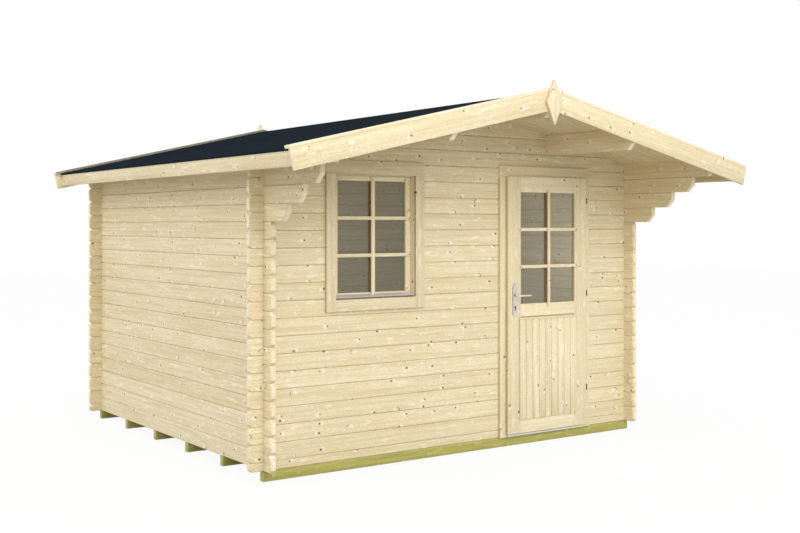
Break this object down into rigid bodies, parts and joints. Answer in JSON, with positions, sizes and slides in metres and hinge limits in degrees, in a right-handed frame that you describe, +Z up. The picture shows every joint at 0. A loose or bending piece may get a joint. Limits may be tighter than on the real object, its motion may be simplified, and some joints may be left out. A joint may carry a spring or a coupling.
{
  "type": "garden shed",
  "caption": "Small gabled garden cabin of interlocking spruce logs with a front canopy, a barred window, a half-glazed door that opens and a felt roof.",
  "frame": {"origin": "on the ground under the middle of the shed's overall box: the underside of the foundation joists, midway between the eaves and midway between the front and rear gable points", "axes": "+X to the right for someone facing the door, +Y from the front (door and window) to the rear, +Z up"},
  "size_m": [3.9666, 4.092, 2.5977],
  "materials": {
    "spruce": "planed bare spruce with small knots, matt",
    "joinery": "planed bare spruce, finer and more even, matt",
    "roof_and_floor_boards": "planed tongue-and-groove boards, matt",
    "green_timber": "pressure-treated softwood with a yellow-green tint, matt",
    "felt": "dark blue-grey bitumen roofing felt, matt",
    "pane": "clear window glass",
    "strip_metal": "mill-finish aluminium strip",
    "hinge_metal": "dark burnished steel",
    "handle_metal": "satin light grey metal"
  },
  "bodies": {
    "cabin": {"joist_1": "green_timber", "joist_2": "green_timber", "joist_3": "green_timber", "joist_4": "green_timber", "joist_5": "green_timber", "joist_6": "green_timber", "floor": "roof_and_floor_boards", "left_wall": "spruce", "right_wall": "spruce", "rear_wall": "spruce", "front_wall_left": "spruce", "front_wall_under_window": "spruce", "front_wall_middle": "spruce", "front_wall_right": "spruce", "front_gable": "spruce", "ridge_purlin": "spruce", "left_purlin": "spruce", "right_purlin": "spruce", "left_roof_boards": "roof_and_floor_boards", "right_roof_boards": "roof_and_floor_boards", "roof_felt": "felt", "left_eave_board": "spruce", "right_eave_board": "spruce", "front_left_bargeboard": "spruce", "front_right_bargeboard": "spruce", "rear_left_bargeboard": "spruce", "rear_right_bargeboard": "spruce", "front_verge_strips": "spruce", "rear_verge_strips": "spruce", "front_finial": "spruce", "rear_finial": "spruce", "window_casing": "joinery", "window_frame": "joinery", "window_sash": "joinery", "window_glass": "pane", "window_sill_strip": "strip_metal", "door_casing": "joinery", "door_frame": "joinery", "door_threshold": "strip_metal", "frame_hinges": "hinge_metal"},
    "door": {"door_leaf": "joinery", "door_glass": "pane", "handle_plates": "handle_metal", "leaf_hinges": "hinge_metal"},
    "lever": {"door_lever": "handle_metal"}
  },
  "joints": [
    {"name": "door_swing", "type": "hinge", "parent": "cabin", "child": "door", "pos_m": [1.1625, -1.15, 1.113], "axis": [0, 0, 1], "range_deg": [0, 110]},
    {"name": "lever_turn", "type": "hinge", "parent": "door", "child": "lever", "pos_m": [0.422, -1.159, 1.121], "axis": [0, 1, 0], "range_deg": [0, 40], "stiffness_Nm_per_rad": 0.6, "springref_deg": -22.92}
  ]
}
